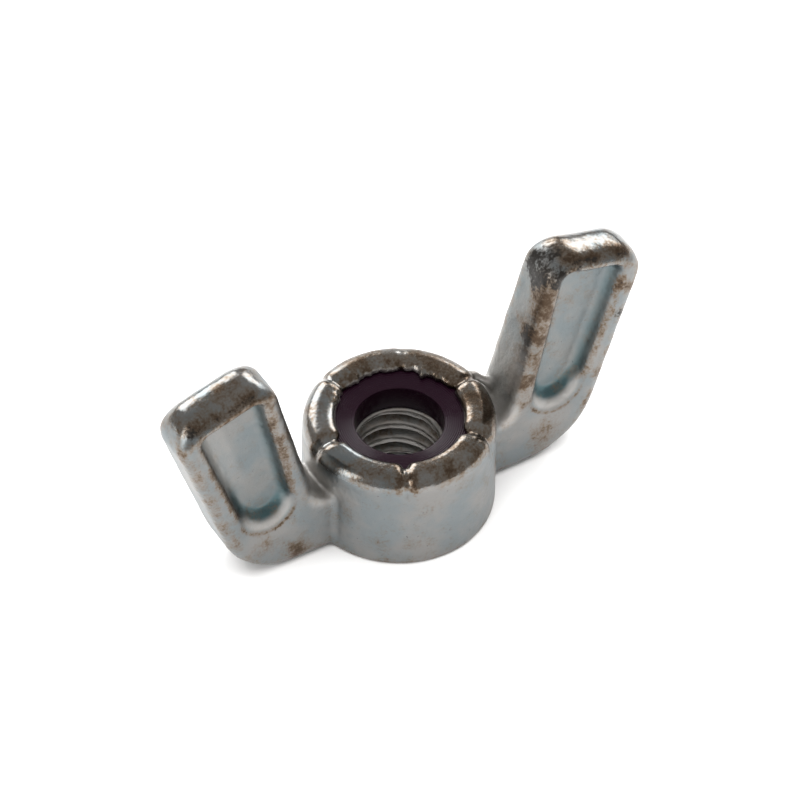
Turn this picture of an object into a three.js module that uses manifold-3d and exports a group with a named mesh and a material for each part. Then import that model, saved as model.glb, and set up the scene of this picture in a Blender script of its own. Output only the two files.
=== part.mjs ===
// A nylon-insert wing nut for a 1/4-20 bolt. It has one cast body, which is a threaded hub with two wings,
// and one locking ring, which sits on a seat in the top of the hub with the hub's rim crimped over it.
// Millimetres, +Z up. The wings lie along X, and the origin is the centre of the base that bears on the work.
import * as THREE from 'three';
import { mergeVertices } from 'three/addons/utils/BufferGeometryUtils.js';
import Module from 'manifold-3d';

// Hub, with heights measured from the base.
const hubDiameter = 11.75;
const hubHeight = 7.22;
const hubBaseChamfer = 0.25;
const hubShoulder = 0.8; // radius of the rolled outer edge of the rim

// Rim, crimped inwards over the locking ring.
const collarWall = 1.3;
const lipOverhang = 0.6; // how far the rim reaches in over the ring
const lipThickness = 0.5;
const lipDrop = 0.12; // how far the lip's edge lies below the rim's crown
const crimpCount = 6;
const crimpWidth = 0.5;
const crimpDepth = 0.35;

// Unified coarse thread, 1/4 inch by 20 to the inch, right-handed.
const threadMajorDiameter = 6.35;
const threadPitch = 1.27;
const threadDepthShare = 0.492; // of the pitch, as this thread's standard allows in a nut
const threadRootShare = 0.125; // of the pitch, the flat at the thread's major diameter
const threadFlankAngle = 30; // degrees
const threadMouth = 0.25; // how far the countersink at the base is wider than the thread, on the radius

// Locking ring.
const ringHeight = 1.85;
const ringBite = 0.45; // how far its bore is inside the thread's major radius
const ringChamfer = 0.2;
const ringClearance = 0.04; // on every side of the ring

// Wing outline in XZ. Its X distances are measured outwards from the wall of the hub.
const wingLift = 0.12; // bottom edge above the base
const wingFootOut = 5.8;
const wingOuterTipOut = 10.65;
const wingInnerTipOut = 3.85;
const wingHeight = 16.45; // to the corner between tip and inner edge, before it is rounded
const wingTipFall = 2.05; // how much lower the outer corner of the tip is
const wingRootOut = 0.75; // inner edge, at the height of the ledge
const ledgeHeight = 4.5;
const ledgeFillet = 1.6;
const footRadius = 4.9;
const outerTipRadius = 2.1;
const innerTipRadius = 1.9;

// Wing section.
const wingRootThickness = 3.8;
const wingTipThickness = 3.15;
const wingEdgeRound = 0.55;

// Pocket in each face of each wing, by its distance from the wing's edges.
const pocketDepth = 1.0;
const pocketDraft = 0.45;
const pocketFootHeight = 3.65;
const pocketTipBorder = 1.1;
const pocketInnerBorder = 1.45;
const pocketOuterBorder = 1.5;
const pocketFootRadius = 1.4;
const pocketTipRadius = 0.8;

// Fineness of the facets.
const hubSegments = 60; // a multiple of crimpCount
const threadSegments = 30; // to a turn
const arcSegments = 5; // to a quarter round
const edgeSegments = 3; // to a rounded edge of a wing
const overrun = 1; // how far a cutter reaches past the material
const grooveReach = 0.15; // how far the thread's cutter stands inside the bore
const mergeDistance = 1e-5;

const hubRadius = hubDiameter / 2;
const wingOuterTipHeight = wingHeight - wingTipFall;
const seatRadius = hubRadius - collarWall;
const lipRadius = seatRadius - lipOverhang;
const lipTop = hubHeight - lipDrop;
const lipUnderside = lipTop - lipThickness;
const seatHeight = lipUnderside - ringHeight - 2 * ringClearance;
const majorRadius = threadMajorDiameter / 2;
const minorRadius = majorRadius - threadDepthShare * threadPitch;

const castMetal = new THREE.MeshStandardMaterial({
  color: 0x969a99,
  roughness: 0.38,
  metalness: 1,
});
const nylon = new THREE.MeshStandardMaterial({
  color: 0x2a1b2c,
  roughness: 0.35,
  metalness: 0,
});

const wasm = await Module();
wasm.setup();

function toSolid(geometry) {
  const bare = geometry.clone();
  bare.deleteAttribute('normal');
  bare.deleteAttribute('uv');
  const merged = mergeVertices(bare, mergeDistance);
  const mesh = new wasm.Mesh({
    numProp: 3,
    vertProperties: new Float32Array(merged.attributes.position.array),
    triVerts: new Uint32Array(merged.index.array),
  });
  return new wasm.Manifold(mesh);
}

function toGeometry(solid) {
  const mesh = solid.getMesh();
  const geometry = new THREE.BufferGeometry();
  geometry.setAttribute('position', new THREE.BufferAttribute(mesh.vertProperties, 3));
  geometry.setIndex(new THREE.BufferAttribute(mesh.triVerts, 1));
  geometry.computeVertexNormals();
  return geometry;
}

// A solid of revolution about Z from [radius, height] points that run up the outside, axis to axis,
// or right round a closed section.
function turned(points) {
  const profile = points.map(([radius, height]) => new THREE.Vector2(radius, height));
  const geometry = new THREE.LatheGeometry(profile, hubSegments);
  geometry.rotateX(Math.PI / 2);
  return toSolid(geometry);
}

// The points of a quarter round, from one angle to another, in degrees.
function arc(centreX, centreY, radius, fromDegrees, toDegrees) {
  const points = [];
  for (let i = 0; i <= arcSegments; i += 1) {
    const share = i / arcSegments;
    const angle = THREE.MathUtils.degToRad(fromDegrees + (toDegrees - fromDegrees) * share);
    points.push([centreX + radius * Math.cos(angle), centreY + radius * Math.sin(angle)]);
  }
  return points;
}

// A closed outline through corners { x, z, radius }, each corner rounded to its radius.
function roundedOutline(corners) {
  const points = [];
  corners.forEach((corner, i) => {
    const here = new THREE.Vector2(corner.x, corner.z);
    if (!corner.radius) {
      points.push(here);
      return;
    }
    const before = corners[(i + corners.length - 1) % corners.length];
    const after = corners[(i + 1) % corners.length];
    const back = new THREE.Vector2(before.x, before.z).sub(here).normalize();
    const on = new THREE.Vector2(after.x, after.z).sub(here).normalize();
    const half = Math.acos(back.dot(on)) / 2;
    const centre = back.clone().add(on).normalize();
    centre.multiplyScalar(corner.radius / Math.sin(half)).add(here);
    const tangent = corner.radius / Math.tan(half);
    const first = back.clone().multiplyScalar(tangent).add(here).sub(centre);
    const last = on.clone().multiplyScalar(tangent).add(here).sub(centre);
    const sweep = Math.atan2(first.cross(last), first.dot(last));
    const steps = Math.max(2, Math.round((arcSegments * Math.abs(sweep)) / (Math.PI / 2)) + 1);
    for (let k = 0; k <= steps; k += 1) {
      const turn = (sweep * k) / steps;
      points.push(first.clone().rotateAround(new THREE.Vector2(), turn).add(centre));
    }
  });
  return new THREE.Shape(points);
}

const innerSlope = (wingInnerTipOut - wingRootOut) / (wingHeight - ledgeHeight);
const outerSlope = (wingOuterTipOut - wingFootOut) / (wingOuterTipHeight - wingLift);
const tipSlope = wingTipFall / (wingOuterTipOut - wingInnerTipOut);

function innerEdge(height) {
  return hubRadius + wingRootOut + innerSlope * (height - ledgeHeight);
}

function outerEdge(height) {
  return hubRadius + wingFootOut + outerSlope * (height - wingLift);
}

// Where a line parallel to the tip, below it by the border, meets a side that leans by the slope.
function underTip(sideAtFoot, slope, border) {
  const tipAtAxis = wingHeight + tipSlope * (hubRadius + wingInnerTipOut) - border;
  const height = (tipAtAxis - tipSlope * (sideAtFoot - slope * pocketFootHeight)) / (1 + tipSlope * slope);
  return { x: sideAtFoot + slope * (height - pocketFootHeight), z: height };
}

function wingOutline() {
  const inHub = (minorRadius + seatRadius) / 2;
  return roundedOutline([
    { x: inHub, z: wingLift },
    { x: hubRadius + wingFootOut, z: wingLift, radius: footRadius },
    { x: hubRadius + wingOuterTipOut, z: wingOuterTipHeight, radius: outerTipRadius },
    { x: hubRadius + wingInnerTipOut, z: wingHeight, radius: innerTipRadius },
    { x: innerEdge(ledgeHeight), z: ledgeHeight, radius: ledgeFillet },
    { x: inHub, z: ledgeHeight },
  ]);
}

function pocketOutline() {
  const innerFoot = innerEdge(pocketFootHeight) + pocketInnerBorder;
  const outerFoot = outerEdge(pocketFootHeight) - pocketOuterBorder;
  const outerTip = underTip(outerFoot, outerSlope, pocketTipBorder);
  const innerTip = underTip(innerFoot, innerSlope, pocketTipBorder);
  return roundedOutline([
    { x: innerFoot, z: pocketFootHeight, radius: pocketFootRadius },
    { x: outerFoot, z: pocketFootHeight, radius: pocketFootRadius },
    { ...outerTip, radius: pocketTipRadius },
    { ...innerTip, radius: pocketTipRadius },
  ]);
}

// Half the wing's thickness at a height.
function halfThickness(height) {
  const share = height / wingHeight;
  return (wingRootThickness + (wingTipThickness - wingRootThickness) * share) / 2;
}

// One wing, on the +X side. It is extruded at the root's thickness and thinned towards its tip.
function wingSolid() {
  const flat = new THREE.ExtrudeGeometry(wingOutline(), {
    depth: wingRootThickness - 2 * wingEdgeRound,
    bevelThickness: wingEdgeRound,
    bevelSize: wingEdgeRound,
    bevelOffset: -wingEdgeRound,
    bevelSegments: edgeSegments,
  });
  flat.translate(0, 0, wingEdgeRound - wingRootThickness / 2);
  flat.rotateX(Math.PI / 2);
  const places = flat.attributes.position;
  for (let i = 0; i < places.count; i += 1) {
    const thinning = (2 * halfThickness(places.getZ(i))) / wingRootThickness;
    places.setY(i, places.getY(i) * thinning);
  }
  return toSolid(flat);
}

// The cutter for the pocket in the wing's front face. Its floor follows the face at an even depth.
function pocketCutter() {
  const flat = new THREE.ExtrudeGeometry(pocketOutline(), {
    depth: overrun,
    bevelThickness: pocketDepth,
    bevelSize: pocketDraft,
    bevelOffset: -pocketDraft,
    bevelSegments: 1,
  });
  flat.rotateX(Math.PI / 2);
  const places = flat.attributes.position;
  for (let i = 0; i < places.count; i += 1) {
    places.setY(i, places.getY(i) - halfThickness(places.getZ(i)));
  }
  return toSolid(flat);
}

// The thread's groove, a straight bar of the groove's section wound down round Z from above the seat.
// It starts half a facet round, so that none of its edges meets an edge of the bore.
function threadCutter() {
  const threadStart = Math.PI / hubSegments;
  const turns = (seatHeight + 2 * overrun) / threadPitch + 1;
  const halfRoot = (threadPitch * threadRootShare) / 2;
  const inside = minorRadius - grooveReach;
  const flank = Math.tan(THREE.MathUtils.degToRad(threadFlankAngle));
  const halfMouth = halfRoot + (majorRadius - inside) * flank;
  const section = new THREE.Shape([
    new THREE.Vector2(inside, -halfMouth),
    new THREE.Vector2(majorRadius, -halfRoot),
    new THREE.Vector2(majorRadius, halfRoot),
    new THREE.Vector2(inside, halfMouth),
  ]);
  const bar = new THREE.ExtrudeGeometry(section, {
    depth: turns,
    steps: Math.round(turns * threadSegments),
    bevelEnabled: false,
  });
  const places = bar.attributes.position;
  const point = new THREE.Vector3();
  for (let i = 0; i < places.count; i += 1) {
    point.fromBufferAttribute(places, i);
    const angle = threadStart - point.z * 2 * Math.PI;
    const height = seatHeight + overrun + point.y - point.z * threadPitch;
    places.setXYZ(i, point.x * Math.cos(angle), point.x * Math.sin(angle), height);
  }
  return toSolid(bar);
}

// Bore, seat for the ring and opening in the lip, as one cutter.
function boreCutter() {
  const mouth = majorRadius + threadMouth;
  return turned([
    [0, -overrun],
    [mouth, -overrun],
    [mouth, 0],
    [minorRadius, mouth - minorRadius],
    [minorRadius, seatHeight],
    [seatRadius, seatHeight],
    [seatRadius, lipUnderside],
    [lipRadius, lipUnderside],
    [lipRadius, hubHeight + overrun],
    [0, hubHeight + overrun],
  ]);
}

function hubSolid() {
  const crown = hubRadius - hubShoulder;
  return turned([
    [0, 0],
    [hubRadius - hubBaseChamfer, 0],
    [hubRadius, hubBaseChamfer],
    ...arc(crown, hubHeight - hubShoulder, hubShoulder, 0, 90),
    [lipRadius, lipTop],
    [0, lipTop],
  ]);
}

// A vee across the rim, where the crimping tool pressed it inwards. The cutter is a three-sided bar.
function crimpCutter(number) {
  const length = collarWall + lipOverhang + overrun;
  const vee = new THREE.CylinderGeometry(crimpWidth, crimpWidth, length, 3);
  vee.rotateZ(Math.PI / 2);
  vee.rotateX(-Math.PI / 2);
  vee.translate(lipRadius - overrun + length / 2, 0, lipTop - crimpDepth + crimpWidth);
  vee.rotateZ((number * 2 * Math.PI) / crimpCount);
  return toSolid(vee);
}

function nutBody() {
  const right = wingSolid();
  const left = right.rotate([0, 0, 180]);
  let body = hubSolid().add(right).add(left);
  const pocket = pocketCutter();
  const pockets = [pocket, pocket.mirror([0, 1, 0])];
  for (const cutter of pockets) {
    body = body.subtract(cutter);
    body = body.subtract(cutter.rotate([0, 0, 180]));
  }
  body = body.subtract(boreCutter());
  body = body.subtract(threadCutter());
  for (let number = 0; number < crimpCount; number += 1) {
    body = body.subtract(crimpCutter(number));
  }
  return new THREE.Mesh(toGeometry(body), castMetal);
}

function lockingRing() {
  const outer = seatRadius - ringClearance;
  const inner = majorRadius - ringBite;
  const base = seatHeight + ringClearance;
  const top = base + ringHeight;
  const section = [
    [inner, base],
    [outer, base],
    [outer, top],
    [inner + ringChamfer, top],
    [inner, top - ringChamfer],
    [inner, base],
  ];
  const profile = section.map(([radius, height]) => new THREE.Vector2(radius, height));
  const geometry = new THREE.LatheGeometry(profile, hubSegments);
  geometry.rotateX(Math.PI / 2);
  return new THREE.Mesh(geometry, nylon);
}

const wingNut = new THREE.Group();
const body = nutBody();
body.name = 'nut_body';
const ring = lockingRing();
ring.name = 'nylon_insert';
wingNut.add(body, ring);

export default wingNut;
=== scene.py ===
import math

import bpy
import numpy as np
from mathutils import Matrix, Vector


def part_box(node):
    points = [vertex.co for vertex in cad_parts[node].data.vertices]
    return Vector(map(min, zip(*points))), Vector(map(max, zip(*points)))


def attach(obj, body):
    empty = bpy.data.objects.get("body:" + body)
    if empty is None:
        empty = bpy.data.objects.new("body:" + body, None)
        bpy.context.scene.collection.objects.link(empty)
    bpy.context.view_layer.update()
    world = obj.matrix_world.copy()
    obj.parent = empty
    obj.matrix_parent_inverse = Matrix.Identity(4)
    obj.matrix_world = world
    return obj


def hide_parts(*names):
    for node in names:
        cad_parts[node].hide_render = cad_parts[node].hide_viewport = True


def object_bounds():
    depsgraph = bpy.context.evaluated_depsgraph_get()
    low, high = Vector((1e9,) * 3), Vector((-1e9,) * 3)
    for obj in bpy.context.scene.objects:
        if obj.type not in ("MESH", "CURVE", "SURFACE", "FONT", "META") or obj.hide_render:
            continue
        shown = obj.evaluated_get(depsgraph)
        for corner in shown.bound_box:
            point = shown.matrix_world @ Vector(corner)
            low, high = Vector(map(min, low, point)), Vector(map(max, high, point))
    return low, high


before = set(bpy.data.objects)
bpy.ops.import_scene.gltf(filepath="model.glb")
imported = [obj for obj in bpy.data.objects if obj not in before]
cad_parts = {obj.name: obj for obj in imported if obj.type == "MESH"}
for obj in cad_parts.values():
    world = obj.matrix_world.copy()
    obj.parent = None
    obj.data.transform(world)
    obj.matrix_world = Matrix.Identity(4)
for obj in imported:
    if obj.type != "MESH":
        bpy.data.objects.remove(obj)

import openvdb
from mathutils import Matrix, Vector, noise

# A nylon-insert wing nut, taken as 1/4-20. The casting and its locking ring are remade here as fine meshes.
# Lengths are in millimetres until a mesh is made, and in metres on every Blender object.
mm = 0.001
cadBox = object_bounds()
bodyLow, bodyHigh = (Vector(corner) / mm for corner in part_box("nut_body"))
ringLow, ringHigh = (Vector(corner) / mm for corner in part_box("nylon_insert"))


def hexColour(text):
    # sRGB hex to linear RGBA
    channels = [int(text[i:i + 2], 16) / 255 for i in (1, 3, 5)]
    linear = [c / 12.92 if c <= 0.04045 else ((c + 0.055) / 1.055) ** 2.4 for c in channels]
    return (*linear, 1.0)


def addNode(tree, kind, settings=None, inputs=None):
    node = tree.nodes.new(kind)
    for name, value in (settings or {}).items():
        setattr(node, name, value)
    for name, value in (inputs or {}).items():
        if isinstance(value, bpy.types.NodeSocket):
            tree.links.new(value, node.inputs[name])
        else:
            node.inputs[name].default_value = value
    return node


def directionTo(azimuth, elevation):
    # a unit vector, with azimuth in degrees round from straight in front
    turn, lift = math.radians(azimuth), math.radians(elevation)
    return Vector((math.sin(turn) * math.cos(lift), -math.cos(turn) * math.cos(lift), math.sin(lift)))


camera = {
    "azimuth": -31.5,  # degrees round from straight in front
    "elevation": 47.0,
    "roll": 1.3,
    "distance": 581.8,
    "aimAboveMiddle": 0.19,
    "lens": 435.6,
}


def makeCamera():
    turn = math.radians(camera["azimuth"])
    back = directionTo(camera["azimuth"], camera["elevation"])
    right = Vector((math.cos(turn), math.sin(turn), 0))
    up = back.cross(right)
    axes = Matrix((right, up, back)).transposed() @ Matrix.Rotation(math.radians(camera["roll"]), 3, "Z")
    low, high = (Vector(corner) for corner in cadBox)
    aim = (low + high) / 2 + axes.col[1] * camera["aimAboveMiddle"] * mm
    data = bpy.data.cameras.new("camera")
    data.lens = camera["lens"]
    view = bpy.data.objects.new("camera", data)
    view.matrix_world = Matrix.Translation(aim + back * camera["distance"] * mm) @ axes.to_4x4()
    bpy.context.collection.objects.link(view)
    bpy.context.scene.camera = view


makeCamera()
print("camera placed")

# The casting is one distance field: a turned hub with two wings, their pockets, the bore and the crimps.
casting = {
    "voxel": 0.12,
    "hubRadius": bodyHigh.y,
    "hubHeight": 7.22,
    "baseRound": 0.25,
    "shoulderRound": 1.05,
    "crownRadius": 4.85,  # the rim's highest circle
    "crownRound": 0.8,
    "lipHeight": 7.18,
    "lipBlend": 0.65,
    "filletToWing": 0.35,
    "seatRadius": ringHigh.x + 0.04,
    "seatHeight": ringLow.z - 0.04,
    "lipUnderside": ringHigh.z + 0.03,
    "lipRadius": 3.84,
    "threadMajor": 3.175,
    "threadMinor": 2.55,
    "threadPitch": 1.27,
    "threadStart": 0.15,  # in turns
    "grooveFlat": 1 / 16,  # half the flat at the groove's bottom, in turns
    "flankAngle": 30,
    "grooveReach": 0.1,  # how far the groove's cut runs on inside the minor radius
    "grooveEasing": 0.6,  # a sloping flank is nearer than its radius says
    "countersink": 3.42,
    "lipCutBelow": 0.2,
    "boreBlend": 0.15,
    "sheetReach": 20,  # radius that a turned outline is worked out to, past the wings' far corners
}
wing = {
    "lift": 0.12,
    "footOut": 5.8,  # distances out are from the hub's wall
    "outerTipOut": 10.65,
    "outerTipHeight": 14.4,
    "innerTipOut": 3.85,
    "innerTipHeight": 16.45,
    "rootOut": 0.75,
    "ledgeHeight": 4.5,
    "ledgeFillet": 1.6,
    "footRound": 4.9,
    "outerTipRound": 2.1,
    "innerTipRound": 1.9,
    "rootThickness": 3.8,
    "tipThickness": 3.15,
    "edgeBlend": 0.8,
    "tipBlend": 1.5,  # the tips are rounder than the sides
    "tipFade": (-1.6, -0.2),  # heights from the tips' slanting top over which the edges get rounder
    "insideHub": 2,
}
pocket = {
    "depth": 1.0,
    "draft": 0.45,
    "foot": 3.65,
    "innerBorder": 1.45,
    "innerTipBorder": 0.95,
    "outerBorder": 1.5,
    "tipBorder": 1.1,
    "footRound": 1.75,
    "tipRound": 0.8,
    "floorBlend": 0.5,
    "rimBlend": 0.35,
    "footBlend": 0.8,  # the foot end opens out in a wide soft lip
    "footDraft": 1.25,
    "footReach": 2.6,
}
crimps = {
    # degrees round from +X, the radius that the nick in the lip reaches, and the valley's width and depth
    "places": (
        (6, 4.15, 0.3, 0.2),
        (58, 4.1, 0.26, 0.05),
        (116, 4.1, 0.3, 0.15),
        (178, 4.25, 0.36, 0.24),
        (244, 4.2, 0.3, 0.25),
        (312, 4.3, 0.34, 0.25),
    ),
    "nickSlope": 0.5,
    "nickEasing": 0.85,
    "fadeIn": (3.5, 4.3),  # radii over which a valley deepens
    "fadeOut": 0.5,  # how far past the hub's wall it ends
    "fadeUp": (5.4, 6.4),  # heights over which it deepens
}
tearing = {
    # the lip is ragged along the back, where the crimping tool dragged it
    "from": 10,
    "to": 130,
    "middle": 58,
    "fade": 15,
    "depth": 0.13,
    "waves": ((0.17, 0), (0.41, 1), (0.9, 2)),  # each one's rate and start
    "flapAngle": 38,
    "flapWidth": 4,
    "flapReach": 0.34,
}
flash = {
    # a sheared web of metal between the hub and the back of the right wing's ledge
    "from": (6.0, 1.35, 6.1),
    "to": (7.15, 0.45, 5.15),
    "radius": 0.24,
    "blend": 0.5,
    "bareReach": 0.12,
}


def smoothMin(a, b, blend):
    share = np.clip(0.5 + 0.5 * (b - a) / blend, 0, 1)
    return b + (a - b) * share - blend * share * (1 - share)


def smoothMax(a, b, blend):
    return -smoothMin(-a, -b, blend)


def roundedOutline(corners):
    # (x, z, radius) corners to a list of points, with an arc of about 6 degrees a step at each
    points = []
    for i, (x, z, radius) in enumerate(corners):
        here = Vector((x, z))
        back = (Vector(corners[i - 1][:2]) - here).normalized()
        on = (Vector(corners[(i + 1) % len(corners)][:2]) - here).normalized()
        if radius == 0:
            points.append(here)
            continue
        half = math.acos(back.dot(on)) / 2
        centre = here + (back + on).normalized() * radius / math.sin(half)
        first = here + back * radius / math.tan(half) - centre
        sweep = -first.angle_signed(here + on * radius / math.tan(half) - centre)
        steps = max(3, round(abs(math.degrees(sweep)) / 6))
        for k in range(steps + 1):
            points.append(centre + Matrix.Rotation(sweep * k / steps, 2) @ first)
    return points


def outlineDistance(x, z, outline):
    # signed distance from each point to a closed outline, below zero inside it
    nearest = np.full(np.broadcast(x, z).shape, 1e6, np.float32)
    inside = np.zeros(nearest.shape, bool)
    for a, b in zip(outline, outline[1:] + outline[:1]):
        run, rise = b.x - a.x, b.y - a.y
        length = run * run + rise * rise
        if length < 1e-12:
            continue
        along = np.clip(((x - a.x) * run + (z - a.y) * rise) / length, 0, 1)
        nearest = np.minimum(nearest, np.hypot(x - a.x - run * along, z - a.y - rise * along))
        if rise:
            crossed = (a.y > z) != (b.y > z)
            inside ^= crossed & (x < a.x + (z - a.y) * run / rise)
    return np.where(inside, -nearest, nearest)


innerSlope = (wing["innerTipOut"] - wing["rootOut"]) / (wing["innerTipHeight"] - wing["ledgeHeight"])
outerSlope = (wing["outerTipOut"] - wing["footOut"]) / (wing["outerTipHeight"] - wing["lift"])
tipSlope = (wing["innerTipHeight"] - wing["outerTipHeight"]) / (wing["outerTipOut"] - wing["innerTipOut"])


def tipLineAt(x):
    # the height of the tips' slanting top
    return wing["innerTipHeight"] - tipSlope * (np.abs(x) - casting["hubRadius"] - wing["innerTipOut"])


def halfThickness(z):
    # the wings thin towards their tips
    taper = wing["tipThickness"] - wing["rootThickness"]
    return (wing["rootThickness"] + taper * z / wing["innerTipHeight"]) / 2


def wingOutline():
    wall = casting["hubRadius"]
    root = wall + wing["rootOut"]
    return roundedOutline([
        (wall - wing["insideHub"], wing["lift"], 0),
        (wall + wing["footOut"], wing["lift"], wing["footRound"]),
        (wall + wing["outerTipOut"], wing["outerTipHeight"], wing["outerTipRound"]),
        (wall + wing["innerTipOut"], wing["innerTipHeight"], wing["innerTipRound"]),
        (root, wing["ledgeHeight"], wing["ledgeFillet"]),
        (wall - wing["insideHub"], wing["ledgeHeight"], 0),
    ])


def pocketOutline():
    wall, foot = casting["hubRadius"], pocket["foot"]
    innerFootLightShare = wall + wing["rootOut"] + innerSlope * (foot - wing["ledgeHeight"]) + pocket["innerBorder"]
    outerFoot = wall + wing["footOut"] + outerSlope * (foot - wing["lift"]) - pocket["outerBorder"]
    lean = (pocket["innerBorder"] - pocket["innerTipBorder"]) / (wing["innerTipHeight"] - foot)
    tips = []
    for x, slope in ((outerFoot, outerSlope), (innerFootLightShare, innerSlope - lean)):
        tipAtAxis = wing["innerTipHeight"] + tipSlope * (wall + wing["innerTipOut"]) - pocket["tipBorder"]
        height = (tipAtAxis - tipSlope * (x - slope * foot)) / (1 + tipSlope * slope)
        tips.append((x + slope * (height - foot), height, pocket["tipRound"]))
    return roundedOutline([
        (innerFootLightShare, foot, pocket["footRound"]),
        (outerFoot, foot, pocket["footRound"]),
        *tips,
    ])


def hubOutline():
    radius, top = casting["hubRadius"], casting["hubHeight"]
    return roundedOutline([
        (-1, 0, 0),
        (radius, 0, casting["baseRound"]),
        (radius, top, casting["shoulderRound"]),
        (casting["crownRadius"], top, casting["crownRound"]),
        (casting["lipRadius"], casting["lipHeight"], 0),
        (-1, casting["lipHeight"], 0),
    ])


def boreOutline():
    mouth, minor, seat = casting["countersink"], casting["threadMinor"], casting["seatRadius"]
    return roundedOutline([
        (-1, -2, 0),
        (mouth + 1, -1, 0),
        (minor, mouth - minor, 0),
        (minor, casting["seatHeight"], 0),
        (seat, casting["seatHeight"], 0),
        (seat, casting["lipUnderside"], 0),
        (-1, casting["lipUnderside"], 0),
    ])


def ramp(values, low, high):
    share = np.clip((values - low) / (high - low), 0, 1)
    return share * share * (3 - 2 * share)


def rod(x, y, z, start, end, radius):
    # distance to a round-ended rod
    start, end = Vector(start), Vector(end)
    run = end - start
    along = ((x - start.x) * run.x + (y - start.y) * run.y + (z - start.z) * run.z) / run.length_squared
    along = np.clip(along, 0, 1)
    away = ((x - start.x - run.x * along) ** 2 + (y - start.y - run.y * along) ** 2
            + (z - start.z - run.z * along) ** 2)
    return np.sqrt(away) - radius


def lipEdge(angle):
    # the radius of the lip's opening at each angle round it
    degrees = np.degrees(angle)
    ragged = ramp(degrees, tearing["from"], tearing["from"] + tearing["fade"])
    ragged = ragged * ramp(-degrees, -tearing["to"] - tearing["fade"], -tearing["to"])
    tear = sum(np.sin(rate * degrees + start) for rate, start in tearing["waves"]) / len(tearing["waves"])
    flap = np.exp(-((degrees - tearing["flapAngle"]) / tearing["flapWidth"]) ** 2)
    return casting["lipRadius"] + tearing["depth"] * ragged * tear - tearing["flapReach"] * flap


def castingField(x, y, z):
    # negative inside the metal; x, y and z are the grid's axes, ready to broadcast
    radius = np.hypot(x, y)
    angle = np.arctan2(y, x)
    radii = np.arange(0, casting["sheetReach"], casting["voxel"] / 2, dtype=np.float32)
    heights = z.ravel()

    def turned(outline):
        # the outline's distance on a (radius, height) sheet, spun round the axis
        sheet = outlineDistance(radii[:, None], heights[None, :], outline)
        spun = [np.interp(radius[:, :, 0], radii, sheet[:, k]) for k in range(len(heights))]
        return np.stack(spun, axis=2).astype(np.float32)

    hub = turned(hubOutline())
    side = outlineDistance(np.abs(x[:, 0, :]), z[0, 0, :][None, :], wingOutline())[:, None, :]
    half = halfThickness(z)
    nearTip = ramp(z - tipLineAt(x), *wing["tipFade"])
    edgeBlend = wing["edgeBlend"] + (wing["tipBlend"] - wing["edgeBlend"]) * nearTip
    wings = smoothMax(side, np.abs(y) - half, edgeBlend)

    inPocket = outlineDistance(np.abs(x[:, 0, :]), z[0, 0, :][None, :], pocketOutline())[:, None, :]
    aboveFloor = np.abs(y) - half + pocket["depth"]
    foot = ramp(pocket["foot"] + pocket["footReach"] - z, 0, pocket["footReach"])
    draft = pocket["draft"] + pocket["footDraft"] * foot
    walls = inPocket + draft * (1 - aboveFloor / pocket["depth"])
    hollow = smoothMax(walls, -aboveFloor, pocket["floorBlend"])
    wings = smoothMax(wings, -hollow, pocket["rimBlend"] + pocket["footBlend"] * foot)

    field = smoothMin(hub, wings, casting["filletToWing"])
    field = smoothMin(field, rod(x, y, z, flash["from"], flash["to"], flash["radius"]), flash["blend"])

    # lip opening, then the bore below it with the thread's groove
    lipCut = casting["lipUnderside"] - casting["lipCutBelow"]
    lip = np.maximum(radius - lipEdge(angle), lipCut - z)
    field = smoothMax(field, -lip, casting["lipBlend"])
    turns = (z - casting["threadPitch"] * angle / (2 * math.pi)) / casting["threadPitch"]
    fromGroove = np.abs(turns + casting["threadStart"] - np.round(turns + casting["threadStart"]))
    steepness = math.tan(math.radians(casting["flankAngle"]))
    flank = (fromGroove - casting["grooveFlat"]) * casting["threadPitch"] / steepness
    innermost = casting["threadMinor"] - casting["grooveReach"]
    grooved = np.clip(casting["threadMajor"] - flank, innermost, casting["threadMajor"])
    thread = np.maximum((radius - grooved) * casting["grooveEasing"], z - casting["seatHeight"])
    cut = np.minimum(turned(boreOutline()), thread)

    for degrees, reach, width, depth in crimps["places"]:
        c, s = math.cos(math.radians(degrees)), math.sin(math.radians(degrees))
        out = x * c + y * s
        across = np.abs(y * c - x * s)
        nick = np.maximum((across - crimps["nickSlope"] * (reach - out)) * crimps["nickEasing"], -out)
        nick = np.maximum(nick, lipCut - z)
        cut = np.minimum(cut, nick)
        valley = depth * np.exp(-(across / width) ** 2)
        beforeEnd = casting["hubRadius"] + crimps["fadeOut"] - out
        valley = valley * ramp(out, *crimps["fadeIn"]) * ramp(beforeEnd, 0, crimps["fadeOut"])
        field = field + valley * ramp(z, *crimps["fadeUp"])
    return smoothMax(field, -cut, casting["boreBlend"])


def gridAxes():
    step = casting["voxel"]
    reach = 3 * step
    spans = [np.arange(bodyLow[i] - reach, bodyHigh[i] + reach, step, dtype=np.float32) for i in range(3)]
    return spans, (spans[0][:, None, None], spans[1][None, :, None], spans[2][None, None, :])


def meshFromField(name, field, spans):
    grid = openvdb.FloatGrid(background=1.0)
    grid.copyFromArray(np.ascontiguousarray(np.clip(field, -1, 1)))
    points, quads = grid.convertToQuads(isovalue=0)
    points = points * casting["voxel"] + np.array([span[0] for span in spans])
    mesh = bpy.data.meshes.new(name)
    mesh.vertices.add(len(points))
    mesh.vertices.foreach_set("co", (points * mm).astype(np.float32).ravel())
    mesh.loops.add(quads.size)
    mesh.loops.foreach_set("vertex_index", quads[:, ::-1].astype(np.int32).ravel())
    mesh.polygons.add(len(quads))
    mesh.polygons.foreach_set("loop_start", np.arange(0, quads.size, 4, dtype=np.int32))
    mesh.update(calc_edges=True)
    mesh.validate()
    mesh.shade_smooth()
    piece = bpy.data.objects.new(name, mesh)
    bpy.context.collection.objects.link(piece)
    return piece


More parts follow.
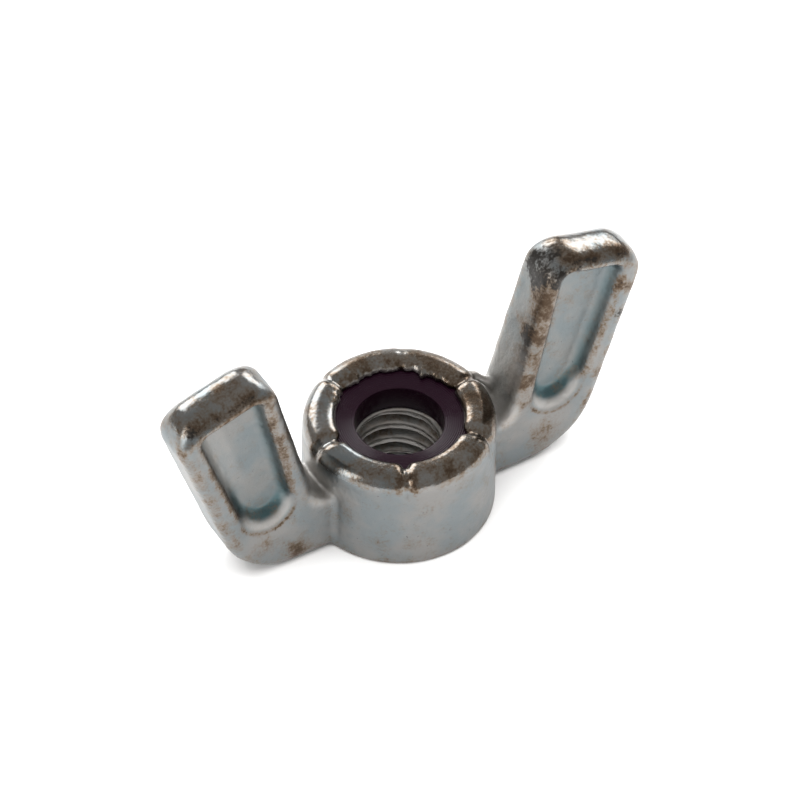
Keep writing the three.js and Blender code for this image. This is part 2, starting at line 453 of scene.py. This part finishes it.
surface = {
    "swell": 0.03,  # slow unevenness of the casting, and its spacing
    "swellSpacing": 1.6,
    "grain": 0.012,
    "grainSpacing": 0.35,
    "baseFade": (0.05, 0.4),  # heights over which it grows, so that the base stays flat
    "rimHeights": (5.9, 6.5),  # heights over which the wall turns into the rim
    "rimReach": 6.2,
    "rimSmoothing": 0.7,  # share of it that the crimping tool pressed out
}


def bending(field):
    # how sharply the surface turns, per millimetre: above zero on an outside edge, below in a corner
    for axis in range(3):
        field = (np.roll(field, 1, axis) + 2 * field + np.roll(field, -1, axis)) / 4
    total = -6 * field
    for axis in range(3):
        total += np.roll(field, 1, axis) + np.roll(field, -1, axis)
    return total / casting["voxel"] ** 2


def atPoints(values, places, spans):
    # the grid's value nearest to each place
    index = []
    for i in range(3):
        cell = np.rint((places[:, i] - spans[i][0]) / casting["voxel"]).astype(int)
        index.append(np.clip(cell, 0, len(spans[i]) - 1))
    return values[index[0], index[1], index[2]]


def pointsOf(mesh):
    found = np.empty(len(mesh.vertices) * 3, np.float32)
    mesh.vertices.foreach_get("co", found)
    return found.reshape(-1, 3) / mm


def paint(mesh, name, values):
    layer = mesh.attributes.new(name, "FLOAT", "POINT")
    layer.data.foreach_set("value", np.clip(values, 0, 1).astype(np.float32))


stainingAndDarkReflection = {
    # where the plating has browned or blackened, and on the tips partly painted dark reflection: the
    # middle, how far it reaches, how strong it is
    "patches": (
        ((-8.1, -1.8, 1.1), 1.9, 0.85),
        ((-10.5, -1.8, 2.6), 1.6, 0.4),
        # these two darken the left tip's front half: partly brown stain, partly painted dark reflection
        ((-12.4, -0.6, 15.2), 2.6, 0.75),
        ((-14.2, -0.9, 14.3), 1.6, 0.6),
        ((9.2, -1.4, 14.4), 2.4, 1.2),
        ((9.1, -1.5, 12.6), 2.4, 1.15),
        ((8.8, -1.5, 10.8), 2.4, 1.15),
        ((8.5, -1.5, 9.0), 2.4, 1.1),
        ((8.1, -1.6, 7.2), 2.2, 1.05),
        ((8.0, -1.7, 5.6), 1.6, 0.7),
        ((12.0, -1.7, 13.9), 2.0, 0.6),
        ((9.3, -1.8, 2.3), 2.2, 0.7),
        ((14.4, -1.5, 9.2), 1.6, 0.6),
        ((15.4, -1.6, 11.8), 1.5, 0.7),
        ((13.2, -1.7, 5.6), 1.6, 0.6),
        ((4.3, -2.9, 6.8), 1.5, 0.8),
        ((0.5, 5.4, 6.8), 2.5, 0.35),
        ((-3.3, 4.2, 6.9), 1.8, 0.35),
        ((-5.2, -2.6, 3.8), 0.9, 0.35),
        ((-2.4, -5.3, 1.8), 1.0, 0.6),
        ((4.9, -3.2, 3.2), 2.2, 0.45),
        ((5.2, -2.6, 1.2), 1.5, 0.6),
        ((-5.0, 0.5, 5.6), 1.5, 0.7),
        ((3.4, -4.7, 4.0), 1.0, 0.3),
    ),
    "black": (
        ((8.3, -1.1, 11.2), 1.2, 0.9),
        ((8.0, -1.2, 10.2), 1.2, 1.1),
        ((7.8, -1.3, 9.2), 1.2, 1.1),
        ((7.5, -1.4, 8.2), 1.1, 0.9),
        # these three darken the right tip's inner corner and front: partly black stain, partly painted dark
        # reflection
        ((9.2, -0.2, 15.2), 2.6, 1.6),
        ((10.0, -1.3, 14.8), 1.7, 1.3),
        ((11.5, -1.5, 15.0), 0.8, 0.8),
        ((14.3, -1.5, 9.8), 1.1, 0.7),
        ((-15.1, -1.2, 14.2), 1.1, 0.9),
        ((7.2, -0.8, 4.6), 0.9, 0.6),
    ),
}


def patchesAt(places, patches):
    total = np.zeros(len(places))
    for middle, reach, strength in patches:
        away = np.linalg.norm(places - np.array(middle), axis=1)
        total = np.maximum(total, strength * ramp(reach - away, 0, reach))
    return total


wear = {
    # how strong each mark is, from 0 to 1, apart from the patches above
    "edgeBend": (0.45, 2.0),  # bending at which an outside edge starts to wear, and is fully worn
    "baseStain": 0.05,
    "edgeStain": 0.65,
    "rimStain": (0.4, 0.3),  # all over it, and added towards the right
    "tipStainAndDarkReflection": (0.4, 0.45),  # all over them, and added towards the front, where it is partly painted dark reflection
    "borderStain": (0.35, 0.45),  # round the pockets, and added at their feet
    "borderWidth": 0.13,
    "footStain": 0.3,
    "footHeight": 1.2,
    "boreStain": 0.5,
    "edgeBlack": 0.25,
    "tipBlackAndDarkReflection": 0.7,
    "edgePolish": 0.6,
    "film": (0.5, 0.5),  # all over a pocket's walls, and added towards its foot
    "filmReach": 6,
    "floorLoss": (0.8, 0.4),  # share of the film that a pocket's floor lacks, less at its foot by this
    "leftOuterFilmLoss": 0.7,  # share of the film that the outer half of the left wing lacks
    "innerSideFilm": 0.15,
    "lipTearBare": 0.9,
    # a painted highlight on each pocket's foot
    "crescentHighlight": 0.52,
    "crestHighlightAndBoreLight": (0.1, 0.5),  # all through the bore, and added on the thread's crests as a painted highlight
    # painted light on the left wing's outer pocket walls
    "leftOuterWallPaintedLight": 0.5,
    "ledgeBare": 0.55,
    # painted light on the wings' lower inner sides
    "innerFootPaintedLight": 0.5,
}


def paintCasting(mesh, field, spans):
    # where the plating is polished, browned, black, blued or bare, and where highlights, light and dark
    # reflection are painted, for the material to break up
    places = pointsOf(mesh)
    x, y, z = places.T
    turn = atPoints(bending(field), places, spans)
    radius = np.hypot(x, y)
    half = halfThickness(z)
    offHub = ramp(radius, 6, 6.2)
    edge = ramp(turn, *wear["edgeBend"])
    tip = ramp(z - tipLineAt(x), -1.0, -0.35)
    rim = ramp(z, *surface["rimHeights"])
    rim = rim * ramp(casting["hubRadius"] + 0.4 - radius, 0, 0.6) * ramp(radius, 3.6, 3.9)
    bore = ramp(3.4 - radius, 0, 0.3)
    foot = ramp(wear["footHeight"] - z, 0, wear["footHeight"]) * (1 - bore)
    inward = -outlineDistance(np.abs(x), z, pocketOutline())
    depth = half - np.abs(y)
    atFoot = ramp(pocket["foot"] + pocket["footReach"] - z, 0, 2)

    stainAndDarkReflection = wear["edgeStain"] * edge + wear["baseStain"]
    stainAndDarkReflection = np.maximum(stainAndDarkReflection, patchesAt(places, stainingAndDarkReflection["patches"]))
    allOver, added = wear["rimStain"]
    stainAndDarkReflection = np.maximum(stainAndDarkReflection, rim * (allOver + added * ramp(x, -4, 2)))
    # the tips are browned all over and more towards the front, where the darkening is partly painted dark
    # reflection
    allOver, added = wear["tipStainAndDarkReflection"]
    stainAndDarkReflection = np.maximum(stainAndDarkReflection, tip * (allOver + added * ramp(-y, 0.2, 1.4)))
    stainAndDarkReflection = np.maximum(stainAndDarkReflection, wear["footStain"] * foot)
    border = np.exp(-((inward + 0.1) / wear["borderWidth"]) ** 2) * ramp(0.5 - depth, 0, 0.1) * offHub
    allOver, added = wear["borderStain"]
    stainAndDarkReflection = np.maximum(stainAndDarkReflection, border * (allOver + added * atFoot))
    stainAndDarkReflection = np.maximum(stainAndDarkReflection * (1 - 0.7 * bore), wear["boreStain"] * bore)
    paint(mesh, "stainAndDarkReflection", stainAndDarkReflection)

    black = np.maximum(wear["edgeBlack"] * edge, patchesAt(places, stainingAndDarkReflection["black"]))
    # the tips' front edges are darkened: partly black stain, partly painted dark reflection
    black = np.maximum(black, tip * ramp(-y, 1.0, 1.3) * wear["tipBlackAndDarkReflection"])
    paint(mesh, "black", black)

    towards = math.radians(tearing["middle"])
    tornSide = ramp(x * math.cos(towards) + y * math.sin(towards), 3.0, 4.2)
    rimTop = rim * (1 - tornSide * ramp(radius, 4.95, 5.35))  # duller outside, where the lip is torn
    paint(mesh, "polish", np.maximum(np.maximum(tip, rimTop), wear["edgePolish"] * edge))

    # the blue film, thin on the left wing's outer half
    floorStart = pocket["draft"] + 0.35 + pocket["footDraft"] * atFoot
    onFloor = ramp(inward, floorStart - 0.45, floorStart)
    lacking, lessAtFoot = wear["floorLoss"]
    wall = ramp(inward, 0.6 * atFoot, 0.3 + 0.6 * atFoot) * (1 - (lacking - lessAtFoot * atFoot) * onFloor)
    innerLine = casting["hubRadius"] + wing["rootOut"] + innerSlope * (z - wing["ledgeHeight"])
    outerLine = casting["hubRadius"] + wing["footOut"] + outerSlope * (z - wing["lift"])
    leftOuterHalf = ramp(-x - (innerLine + outerLine) / 2, 0, 0.5) * ramp(z, 7, 9)
    allOver, added = wear["film"]
    nearFoot = ramp(pocket["foot"] + wear["filmReach"] - z, 0, wear["filmReach"])
    film = (allOver + added * nearFoot) * (1 - wear["leftOuterFilmLoss"] * leftOuterHalf)
    onInnerSide = ramp(innerLine + 0.3 - np.abs(x), 0, 0.3)
    innerSide = wear["innerSideFilm"] * onInnerSide * ramp(z, 5, 6) * ramp(radius, 6, 6.3)
    below = ramp(depth, 0.12, 0.4)
    paint(mesh, "blue", np.maximum(wall * film * below, innerSide))

    # bare metal, where the plating has been rubbed, sheared or torn off; the same pale colour also paints
    # highlights on the pockets' feet and the thread's crests, and painted light on the wings' lower inner
    # sides and the left wing's outer pocket walls
    fromFlash = rod(x, y, z, flash["from"], flash["to"], 0)
    bare = np.exp(-(fromFlash / (flash["radius"] + flash["bareReach"])) ** 6)
    lipTear = ramp(lipEdge(np.arctan2(y, x)) + 0.14 - radius, 0, 0.1) * ramp(z, 6.2, 6.4) * ramp(y, 1.5, 3)
    # painted highlight: a pale crescent on the soft lip at each pocket's foot
    crescentHighlightShare = ramp(inward, 0.05, 0.3) * ramp(0.75 - inward, 0, 0.3) * atFoot * offHub
    # painted highlight on the thread's crests, over a slight lightening all through the bore
    allOver, added = wear["crestHighlightAndBoreLight"]
    crestHighlightShare = bore * (allOver + added * ramp(2.75 - radius, 0, 0.12))
    ledge = ramp(1.3 - np.hypot(np.abs(x) - 6.4, z - 5.0), 0, 0.8)
    # painted light: the wings' lower inner sides are lightened against the dark that they reflect
    innerFootLightShare = onInnerSide * ramp(z, 4.6, 5.2) * ramp(11 - z, 0, 4) * ramp(radius, 6, 6.3)
    for share, strength in (
            (ledge, wear["ledgeBare"]),
            (innerFootLightShare, wear["innerFootPaintedLight"]),
            (lipTear, wear["lipTearBare"]),
            (crescentHighlightShare, wear["crescentHighlight"]),
            (crestHighlightShare, 1),
            # painted light: the left wing's outer pocket walls are lightened against the dark that they
            # reflect
            (leftOuterHalf * wall * below, wear["leftOuterWallPaintedLight"])):
        bare = np.maximum(bare, strength * share)
    paint(mesh, "bare", bare)


def roughen(mesh):
    # the casting's own unevenness, along each point's normal
    normals = np.empty(len(mesh.vertices) * 3, np.float32)
    mesh.vertices.foreach_get("normal", normals)
    normals = normals.reshape(-1, 3)
    places = pointsOf(mesh)
    slow = [noise.noise(Vector(place) / surface["swellSpacing"]) for place in places]
    quick = [noise.noise(Vector(place) / surface["grainSpacing"]) for place in places]
    lift = surface["swell"] * np.array(slow) + surface["grain"] * np.array(quick)
    lift *= ramp(places[:, 2], *surface["baseFade"])
    withinRim = surface["rimReach"] - np.hypot(places[:, 0], places[:, 1])
    onRim = ramp(places[:, 2], *surface["rimHeights"]) * ramp(withinRim, 0, 0.3)
    lift *= 1 - surface["rimSmoothing"] * onRim
    places += normals * lift[:, None]
    mesh.vertices.foreach_set("co", (places * mm).astype(np.float32).ravel())
    mesh.update()


spans, axes = gridAxes()
field = castingField(*axes)
castBody = meshFromField("cast_body", field, spans)
paintCasting(castBody.data, field, spans)
roughen(castBody.data)
print("casting meshed:", len(castBody.data.vertices), "vertices")


ring = {
    "outer": ringHigh.x - 0.01,
    "bore": 2.72,
    "base": ringLow.z + 0.01,
    "top": ringHigh.z - 0.01,
    "dishFrom": 4.05,
    "dishSlope": 0.04,  # the top falls a little towards the bore
    "dishCurve": 0.06,
    "boreRound": 0.08,
    "toolLine": 0.13,  # spacing of the turned lines on its top
    "toolDepth": 0.01,
    "lineSteps": 6,  # points across one turned line
    "boreSteps": 6,
    "segments": 192,
    "sharpAngle": 50,
}


def makeRing():
    # a closed profile of (radius, height) points turned round the axis
    profile = [(ring["outer"], ring["base"]), (ring["outer"], ring["top"])]
    reach = ring["dishFrom"] - ring["bore"] - ring["boreRound"]
    steps = round(reach / ring["toolLine"] * ring["lineSteps"])
    for k in range(steps + 1):
        inward = reach * k / steps
        line = ring["toolDepth"] * (0.5 - 0.5 * math.cos(2 * math.pi * inward / ring["toolLine"]))
        fall = ring["dishSlope"] * inward + ring["dishCurve"] * inward ** 2
        profile.append((ring["dishFrom"] - inward, ring["top"] - fall - line))
    for k in range(1, ring["boreSteps"] + 1):
        turn = math.radians(90 * k / ring["boreSteps"])
        profile.append((ring["bore"] + ring["boreRound"] * (1 - math.sin(turn)),
                        ring["top"] - fall - ring["boreRound"] * (1 - math.cos(turn))))
    profile.append((ring["bore"], ring["base"]))
    count, rows = ring["segments"], len(profile)
    points, faces = [], []
    for k in range(count):
        turn = 2 * math.pi * k / count
        points += [(r * math.cos(turn) * mm, r * math.sin(turn) * mm, z * mm) for r, z in profile]
        onward = (k + 1) % count
        for i in range(rows):
            j = (i + 1) % rows
            faces.append((k * rows + i, onward * rows + i, onward * rows + j, k * rows + j))
    mesh = bpy.data.meshes.new("locking_ring")
    mesh.from_pydata(points, [], faces)
    mesh.update()
    mesh.shade_smooth()
    mesh.set_sharp_from_angle(angle=math.radians(ring["sharpAngle"]))
    piece = bpy.data.objects.new("locking_ring", mesh)
    bpy.context.collection.objects.link(piece)
    return piece


lockingRing = makeRing()
print("locking ring made")


plating = {
    "clean": "#807f7d",
    "cloudy": "#73797b",
    "blue": "#445b5f",  # the passivation's blue, deepest on the pocket walls
    "tan": "#6f5f4e",  # the thin film round the stains
    "brown": "#3d2f24",
    # also the colour of the tips' painted dark reflection
    "black": "#201d1a",
    # also the colour of painted highlights and painted light
    "bare": "#c4c1bd",
    "cloudSize": 2.5,
    "blotchSize": 1.3,
    "speckSize": 0.17,
    "pitSize": 0.2,
    "grainSize": 0.45,
}


def zincPlatedSteel():
    # Bright zinc plate over a rough steel casting: a soft grey metal with polished edges, a blue film
    # in the pockets, and brown and black stains that start where the plate has worn thin. The darkening
    # at the tips' fronts is partly painted dark reflection, and the pale bare colour also paints highlights
    # and light.
    material = bpy.data.materials.new("zinc plated steel")
    material.use_nodes = True
    tree = material.node_tree
    shader = tree.nodes["Principled BSDF"]
    place = addNode(tree, "ShaderNodeTexCoord").outputs["Object"]
    marks = {}
    for name in ("stainAndDarkReflection", "black", "polish", "blue", "bare"):
        marks[name] = addNode(tree, "ShaderNodeAttribute", {"attribute_name": name}).outputs["Fac"]
    noises = {}
    for name, detail in (("cloud", 3), ("blotch", 4), ("speck", 5), ("pit", 2), ("grain", 5)):
        noises[name] = addNode(tree, "ShaderNodeTexNoise", {}, {
            "Vector": place, "Scale": 1 / (plating[name + "Size"] * mm), "Detail": detail,
            "Roughness": 0.6}).outputs["Fac"]
    specks = addNode(tree, "ShaderNodeMath", {"operation": "MULTIPLY"}, {
        0: noises["speck"], 1: 0.5}).outputs[0]
    mottle = addNode(tree, "ShaderNodeMath", {"operation": "MULTIPLY_ADD"}, {
        0: noises["blotch"], 1: 0.9, 2: specks}).outputs[0]

    browned = addNode(tree, "ShaderNodeMath", {"operation": "MULTIPLY_ADD"}, {
        0: marks["stainAndDarkReflection"], 1: 0.4, 2: mottle}).outputs[0]
    brownShare = addNode(tree, "ShaderNodeMapRange", {"interpolation_type": "SMOOTHSTEP"}, {
        "Value": browned, "From Min": 0.9, "From Max": 1.16, "To Max": 0.8}).outputs["Result"]
    filmShare = addNode(tree, "ShaderNodeMapRange", {"interpolation_type": "SMOOTHSTEP"}, {
        "Value": browned, "From Min": 0.72, "From Max": 1.1, "To Max": 0.9}).outputs["Result"]
    blackened = addNode(tree, "ShaderNodeMath", {"operation": "MULTIPLY_ADD"}, {
        0: marks["black"], 1: 0.42, 2: mottle}).outputs[0]
    blackShare = addNode(tree, "ShaderNodeMapRange", {"interpolation_type": "SMOOTHSTEP"}, {
        "Value": blackened, "From Min": 0.92, "From Max": 1.1}).outputs["Result"]
    pitShare = addNode(tree, "ShaderNodeMapRange", {"interpolation_type": "SMOOTHSTEP"}, {
        "Value": noises["pit"], "From Min": 0.68, "From Max": 0.78, "To Max": 0.7}).outputs["Result"]
    darkShare = addNode(tree, "ShaderNodeMath", {"operation": "MAXIMUM"}, {
        0: blackShare, 1: pitShare}).outputs[0]
    cloudShare = addNode(tree, "ShaderNodeMapRange", {"interpolation_type": "SMOOTHSTEP"}, {
        "Value": noises["cloud"], "From Min": 0.35, "From Max": 0.65}).outputs["Result"]

    colour = addNode(tree, "ShaderNodeMix", {"data_type": "RGBA"}, {
        0: cloudShare, 6: hexColour(plating["clean"]), 7: hexColour(plating["cloudy"])}).outputs[2]
    films = ((marks["blue"], "blue"), (filmShare, "tan"), (brownShare, "brown"), (darkShare, "black"),
             (marks["bare"], "bare"))
    for share, name in films:
        colour = addNode(tree, "ShaderNodeMix", {"data_type": "RGBA"}, {
            0: share, 6: colour, 7: hexColour(plating[name])}).outputs[2]
    tree.links.new(colour, shader.inputs["Base Color"])

    roughness = addNode(tree, "ShaderNodeMapRange", {}, {
        "Value": marks["polish"], "To Min": 0.42, "To Max": 0.17}).outputs["Result"]
    roughness = addNode(tree, "ShaderNodeMath", {"operation": "MULTIPLY_ADD"}, {
        0: brownShare, 1: 0.14, 2: roughness}).outputs[0]
    roughness = addNode(tree, "ShaderNodeMath", {"operation": "MULTIPLY_ADD"}, {
        0: marks["bare"], 1: 0.25, 2: roughness}).outputs[0]
    tree.links.new(roughness, shader.inputs["Roughness"])
    metallic = addNode(tree, "ShaderNodeMapRange", {}, {
        "Value": darkShare, "To Min": 1.0, "To Max": 0.6}).outputs["Result"]
    tree.links.new(metallic, shader.inputs["Metallic"])
    relief = addNode(tree, "ShaderNodeMath", {"operation": "MULTIPLY_ADD"}, {
        0: noises["speck"], 1: 0.35, 2: noises["grain"]}).outputs[0]
    unevenness = addNode(tree, "ShaderNodeMapRange", {}, {
        "Value": marks["polish"], "To Min": 0.32, "To Max": 0.2}).outputs["Result"]
    bump = addNode(tree, "ShaderNodeBump", {}, {
        "Height": relief, "Strength": unevenness, "Distance": 0.1 * mm})
    tree.links.new(bump.outputs["Normal"], shader.inputs["Normal"])
    return material


nylon = {
    "colour": "#150610",
    "roughness": 0.18,
    "smoother": 0.08,  # how far the scuffs move the roughness, down and up
    "rougher": 0.12,
    "gloss": 0.12,
    "scuffSize": 0.5,
}


def mouldedNylon():
    # Nylon turned on its top: nearly black aubergine, with a soft waxy shine that breaks up in fine scuffs.
    material = bpy.data.materials.new("moulded nylon")
    material.use_nodes = True
    tree = material.node_tree
    shader = tree.nodes["Principled BSDF"]
    shader.inputs["Base Color"].default_value = hexColour(nylon["colour"])
    shader.inputs["IOR"].default_value = 1.53
    shader.inputs["Specular IOR Level"].default_value = nylon["gloss"]  # weak, so it stays nearly black
    place = addNode(tree, "ShaderNodeTexCoord").outputs["Object"]
    scuff = addNode(tree, "ShaderNodeTexNoise", {}, {
        "Vector": place, "Scale": 1 / (nylon["scuffSize"] * mm), "Detail": 4}).outputs["Fac"]
    rough = addNode(tree, "ShaderNodeMapRange", {}, {
        "Value": scuff, "To Min": nylon["roughness"] - nylon["smoother"],
        "To Max": nylon["roughness"] + nylon["rougher"]})
    tree.links.new(rough.outputs["Result"], shader.inputs["Roughness"])
    bump = addNode(tree, "ShaderNodeBump", {}, {"Height": scuff, "Strength": 0.3, "Distance": 0.02 * mm})
    tree.links.new(bump.outputs["Normal"], shader.inputs["Normal"])
    return material


castBody.data.materials.append(zincPlatedSteel())
lockingRing.data.materials.append(mouldedNylon())

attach(castBody, "root")
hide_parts("nut_body")
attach(lockingRing, "root")
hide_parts("nylon_insert")


card = {"reach": 0.3, "grey": 0.9, "roughness": 0.9}


def makeFloor():
    reach, grey = card["reach"], card["grey"]
    corners = [(-reach, -reach, 0), (reach, -reach, 0), (reach, reach, 0), (-reach, reach, 0)]
    mesh = bpy.data.meshes.new("floor")
    mesh.from_pydata(corners, [], [(0, 1, 2, 3)])
    floor = bpy.data.objects.new("floor", mesh)
    bpy.context.collection.objects.link(floor)
    material = bpy.data.materials.new("white card")
    material.use_nodes = True
    shader = material.node_tree.nodes["Principled BSDF"]
    shader.inputs["Base Color"].default_value = (grey, grey, grey, 1)
    shader.inputs["Roughness"].default_value = card["roughness"]
    mesh.materials.append(material)


studio = {
    "ambient": 0.55,
    "overheadPower": 30,
    "overheadHeight": 1.2,
    "overheadSize": 1.6,
    "softboxDistance": 0.9,
    "softboxes": {
        # azimuth from the camera's side, elevation, width, height, watts
        "right back": (152, 28, 0.62, 0.3, 3.2),
        "left back": (210, 25, 0.62, 0.5, 5.0),
        "left": (-58, 18, 0.3, 0.5, 2.3),
    },
}


def makeSoftbox(name, width, height, watts):
    data = bpy.data.lights.new(name + " softbox", "AREA")
    data.shape = "RECTANGLE"
    data.size, data.size_y = width, height
    data.energy = watts
    light = bpy.data.objects.new(name + " softbox", data)
    bpy.context.collection.objects.link(light)
    return light


def makeLights():
    # low softboxes give the polished metal its streaks; the overhead one only evens out the floor
    for name, (azimuth, elevation, width, height, watts) in studio["softboxes"].items():
        away = directionTo(azimuth + camera["azimuth"], elevation)
        facing = away.to_track_quat("Z", "Y").to_matrix().to_4x4()
        light = makeSoftbox(name, width, height, watts)
        light.matrix_world = Matrix.Translation(away * studio["softboxDistance"]) @ facing
    size = studio["overheadSize"]
    overhead = makeSoftbox("overhead", size, size, studio["overheadPower"])
    overhead.location.z = studio["overheadHeight"]
    overhead.visible_glossy = False
    world = bpy.data.worlds.new("studio")
    world.use_nodes = True
    world.node_tree.nodes["Background"].inputs["Color"].default_value = (1, 0.98, 0.96, 1)
    world.node_tree.nodes["Background"].inputs["Strength"].default_value = studio["ambient"]
    bpy.context.scene.world = world


makeFloor()
makeLights()
bpy.context.scene.view_settings.view_transform = "Standard"
print("floor and lights set")
